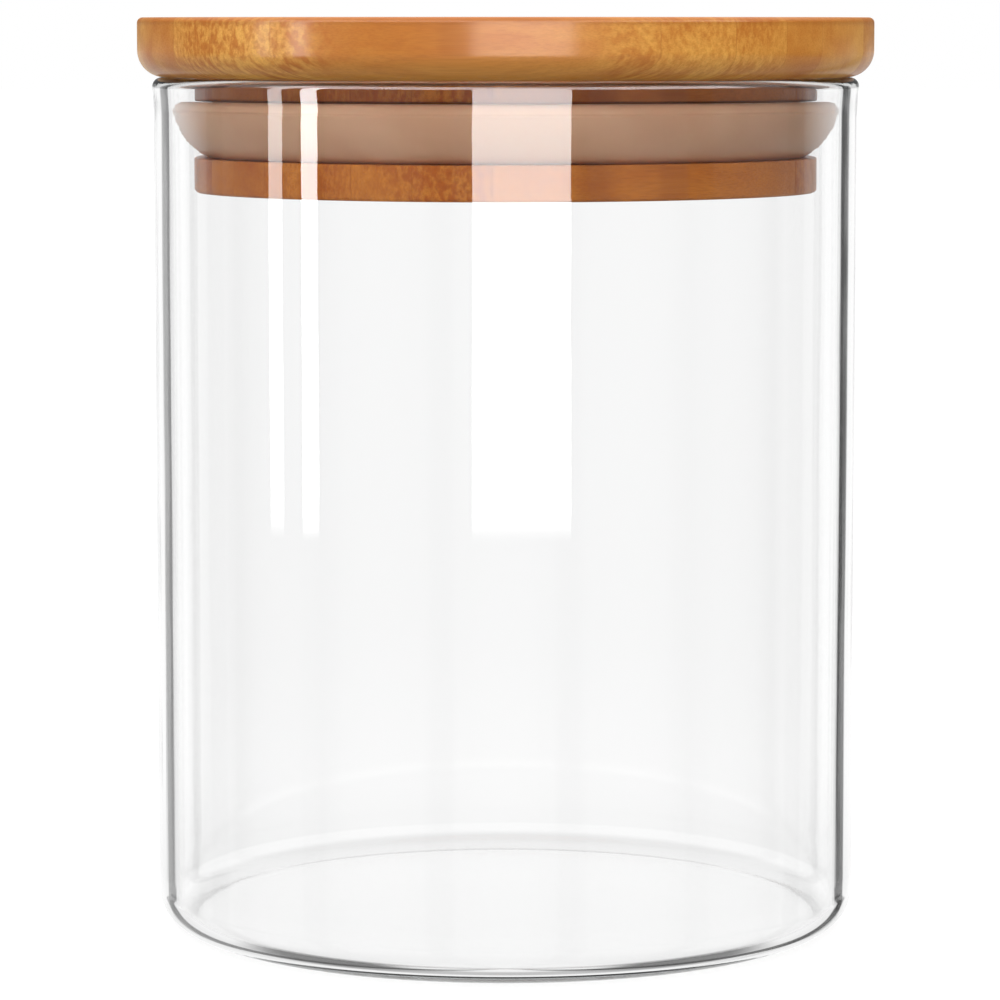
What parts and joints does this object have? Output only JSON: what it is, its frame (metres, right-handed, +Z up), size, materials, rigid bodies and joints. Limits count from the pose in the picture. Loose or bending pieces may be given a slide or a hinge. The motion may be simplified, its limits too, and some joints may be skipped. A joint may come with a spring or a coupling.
{
  "type": "food canister",
  "caption": "Straight clear glass storage jar with a round bamboo plug lid and a translucent silicone seal.",
  "frame": {"origin": "middle of the jar's foot, on the surface it stands on", "axes": "+Z up along the jar's axis; -Y is the front; the disc's bamboo strips run 7 degrees off X"},
  "size_m": [0.1046, 0.1046, 0.1299],
  "materials": {
    "clear_glass": "clear, polished",
    "silicone": "translucent, satin",
    "disc_bamboo": "oiled, satin",
    "plug_bamboo": "oiled, satin"
  },
  "bodies": {
    "jar": {"glass_jar": "clear_glass"},
    "seal": {"seal_ring": "silicone"},
    "lid": {"disc_strip_01": "disc_bamboo", "disc_strip_02": "disc_bamboo", "disc_strip_03": "disc_bamboo", "disc_strip_04": "disc_bamboo", "disc_strip_05": "disc_bamboo", "disc_strip_06": "disc_bamboo", "disc_strip_07": "disc_bamboo", "disc_strip_08": "disc_bamboo", "disc_strip_09": "disc_bamboo", "disc_strip_10": "disc_bamboo", "disc_strip_11": "disc_bamboo", "disc_strip_12": "disc_bamboo", "disc_strip_13": "disc_bamboo", "disc_strip_14": "disc_bamboo", "disc_strip_15": "disc_bamboo", "plug_strip_01": "plug_bamboo", "plug_strip_02": "plug_bamboo", "plug_strip_03": "plug_bamboo", "plug_strip_04": "plug_bamboo", "plug_strip_05": "plug_bamboo", "plug_strip_06": "plug_bamboo", "plug_strip_07": "plug_bamboo", "plug_strip_08": "plug_bamboo", "plug_strip_09": "plug_bamboo", "plug_strip_10": "plug_bamboo", "plug_strip_11": "plug_bamboo", "plug_strip_12": "plug_bamboo", "plug_strip_13": "plug_bamboo"}
  },
  "joints": [
    {"name": "lid_lift", "type": "slide", "parent": "jar", "child": "seal", "axis": [0, 0, 1], "range_m": [0, 0.06]},
    {"name": "lid_turn", "type": "hinge", "parent": "seal", "child": "lid", "pos_m": [0, 0, 0.1139], "axis": [0, 0, 1], "continuous": true}
  ]
}
